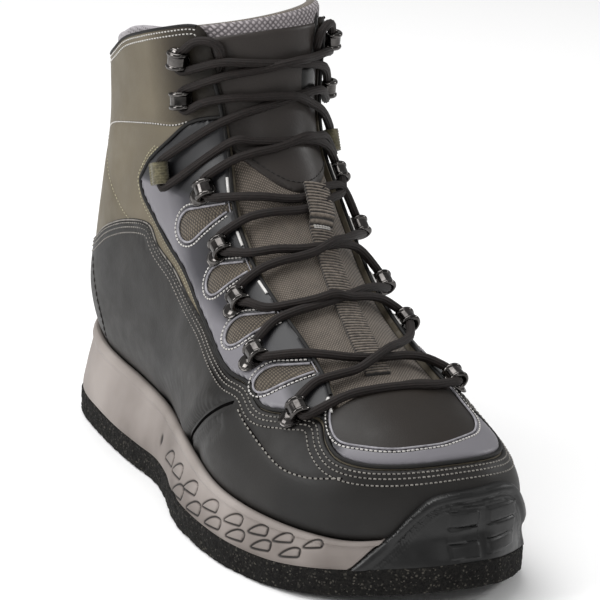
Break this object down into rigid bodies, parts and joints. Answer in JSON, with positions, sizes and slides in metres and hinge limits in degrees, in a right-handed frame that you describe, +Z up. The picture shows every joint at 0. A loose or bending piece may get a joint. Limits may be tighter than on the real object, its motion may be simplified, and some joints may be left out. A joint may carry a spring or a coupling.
{
  "type": "wading boot",
  "caption": "Lace-up wading boot for the right foot, with a felt outsole, foam midsole, rubber toe bumper, padded tongue and collar, and lacing through rings and hooks.",
  "frame": {"origin": "on the floor, under the middle of the boot's bounding box", "axes": "+Z up, heel towards +Y, toe towards -Y, outer (little toe) side towards -X"},
  "size_m": [0.1266, 0.3116, 0.2228],
  "materials": {
    "felt": "cut wool and synthetic felt, speckled, matt",
    "midsole": "moulded EVA foam, fine satin skin",
    "rubber": "moulded black rubber, satin",
    "leather": "synthetic leather with a fine grain and a soft sheen",
    "stay": "smooth silver grey synthetic leather",
    "mesh": "ripstop mesh, matt",
    "webbing": "ribbed webbing, matt",
    "olive": "olive webbing, matt",
    "lining": "grey spacer mesh, matt",
    "metal": "dark nickel plate, glossy",
    "lace": "round braided polyester cord"
  },
  "bodies": {
    "root": {"outsole_felt": "felt", "midsole": "midsole", "toe_bumper": "rubber", "upper": "leather", "insole": "lining", "tongue": "mesh", "lace_stay": "stay", "tongue_strap": "webbing", "collar_lining": "lining", "back_strip": "rubber", "pull_loop": "webbing", "ring_outer_1": "metal", "ring_outer_2": "metal", "ring_outer_3": "metal", "ring_outer_4": "metal", "ring_outer_5": "metal", "lace_loop_outer": "olive", "hook_outer_1": "metal", "hook_outer_2": "metal", "ring_inner_1": "metal", "ring_inner_2": "metal", "ring_inner_3": "metal", "ring_inner_4": "metal", "ring_inner_5": "metal", "lace_loop_inner": "olive", "hook_inner_1": "metal", "hook_inner_2": "metal", "lace_bar": "lace", "lace_crossing_1": "lace", "lace_crossing_2": "lace", "lace_crossing_3": "lace", "lace_crossing_4": "lace", "lace_crossing_5": "lace", "lace_crossing_6": "lace", "lace_crossing_7": "lace"}
  },
  "joints": []
}
